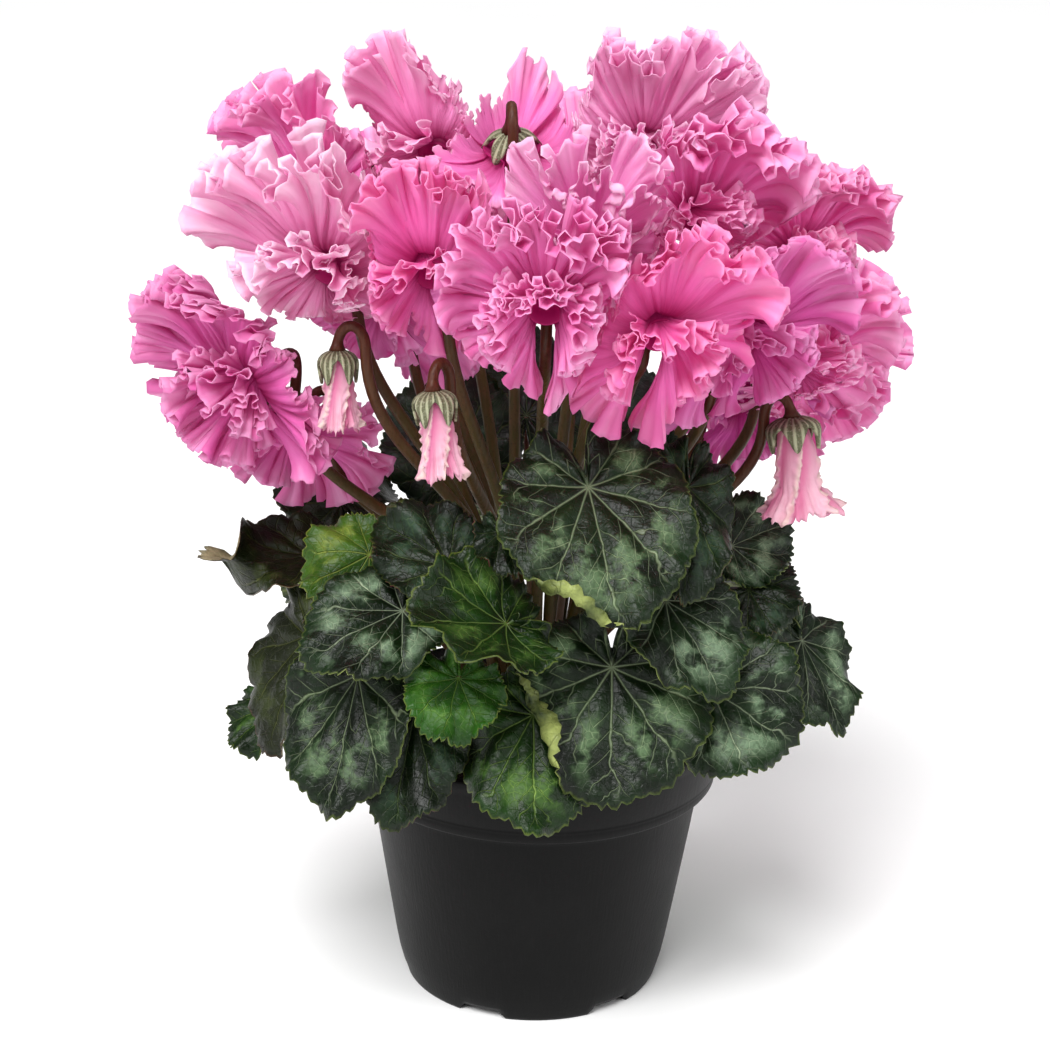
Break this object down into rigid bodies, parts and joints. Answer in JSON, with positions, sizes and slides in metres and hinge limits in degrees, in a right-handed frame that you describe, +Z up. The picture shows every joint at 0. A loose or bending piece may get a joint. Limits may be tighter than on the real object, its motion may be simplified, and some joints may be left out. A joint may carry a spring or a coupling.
{
  "type": "potted cyclamen",
  "caption": "Flowering cyclamen with ruffled pink blooms over marbled heart-shaped leaves, in a plain round black nursery pot.",
  "frame": {"origin": "centre of the pot's foot ring, on the ground, under the middle of the plant", "axes": "+Z up, -Y towards the viewer of the plant's front, +X to that viewer's right"},
  "size_m": [0.2623, 0.2246, 0.3267],
  "materials": {
    "pot": "satin near-black moulded plastic with fine vertical drag lines and scuffs",
    "soil": "loose dark peat",
    "tuber": "rough corky skin",
    "stem": "fleshy dark red-brown to olive, slightly glossy",
    "leaf": "dark green with silver-grey marbling, pale veins and a yellow-green toothed rim, satin",
    "young_leaf": "yellow-green with lime veins, satin",
    "petal": "soft matt petal, magenta at the throat, pink, with pale frilled rims",
    "bud": "soft matt furled petals, pale pink with cream edges"
  },
  "bodies": {
    "root": {"pot": "pot", "soil": "soil", "tuber": "tuber", "flower_stems_left": "stem", "flower_stems_front": "stem", "flower_stems_right": "stem", "flower_stems_top": "stem", "flower_stems_back": "stem", "leaf_01": "leaf", "leaf_02": "leaf", "leaf_03": "leaf", "leaf_04": "leaf", "leaf_05": "leaf", "leaf_06": "leaf", "leaf_07": "leaf", "leaf_08": "leaf", "leaf_09": "young_leaf", "leaf_10": "leaf", "leaf_11": "leaf", "leaf_12": "leaf", "leaf_13": "leaf", "leaf_14": "leaf", "leaf_15": "leaf", "leaf_16": "leaf", "leaf_17": "leaf", "leaf_18": "leaf", "leaf_19": "leaf", "leaf_20": "leaf", "leaf_21": "leaf", "leaf_22": "leaf", "leaf_23": "leaf", "leaf_24": "leaf", "leaf_25": "leaf", "leaf_26": "leaf", "leaf_27": "leaf", "leaf_28": "leaf", "leaf_29": "leaf", "bloom_01": "petal", "bloom_02": "petal", "bloom_03": "petal", "bloom_04": "petal", "bloom_05": "petal", "bloom_06": "petal", "bloom_07": "petal", "bloom_08": "petal", "bloom_09": "petal", "bloom_10": "petal", "bloom_11": "petal", "bloom_12": "petal", "bloom_13": "petal", "bloom_14": "petal", "bloom_15": "petal", "bloom_16": "petal", "bloom_17": "petal", "bloom_18": "petal", "bloom_19": "petal", "bloom_20": "petal", "bud_1": "bud", "bud_2": "bud", "bud_3": "bud"}
  },
  "joints": []
}
